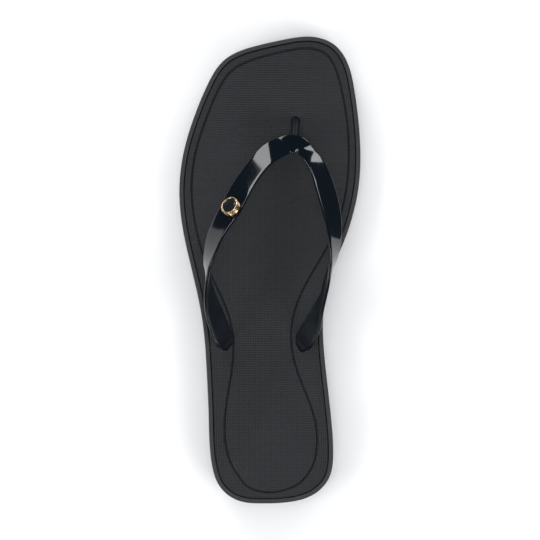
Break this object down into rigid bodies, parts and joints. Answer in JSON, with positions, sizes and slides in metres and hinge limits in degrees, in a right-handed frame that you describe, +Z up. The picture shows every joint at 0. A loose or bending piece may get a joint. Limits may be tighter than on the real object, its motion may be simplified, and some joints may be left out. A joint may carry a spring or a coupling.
{
  "type": "toe post sandal",
  "caption": "Flat rubber sandal for the left foot, with a cushioned footbed and a moulded V strap held by a toe post, and a small round metal stud on the outer leg.",
  "frame": {"origin": "middle of the sandal's length and width on the floor", "axes": "+Y from heel to toe, +X towards the inner side of the foot, +Z up"},
  "size_m": [0.0996, 0.256, 0.0603],
  "materials": {
    "outsole": "smooth matte moulded rubber",
    "footbed": "matte foam with a fine moulded weave",
    "strap": "polished outer face, matte inner face",
    "stud_metal": "polished plating",
    "stud_enamel": "gloss enamel"
  },
  "bodies": {
    "root": {"outsole": "outsole", "footbed": "footbed", "strap": "strap", "stud_drum": "stud_metal", "stud_enamel": "stud_enamel"}
  },
  "joints": []
}
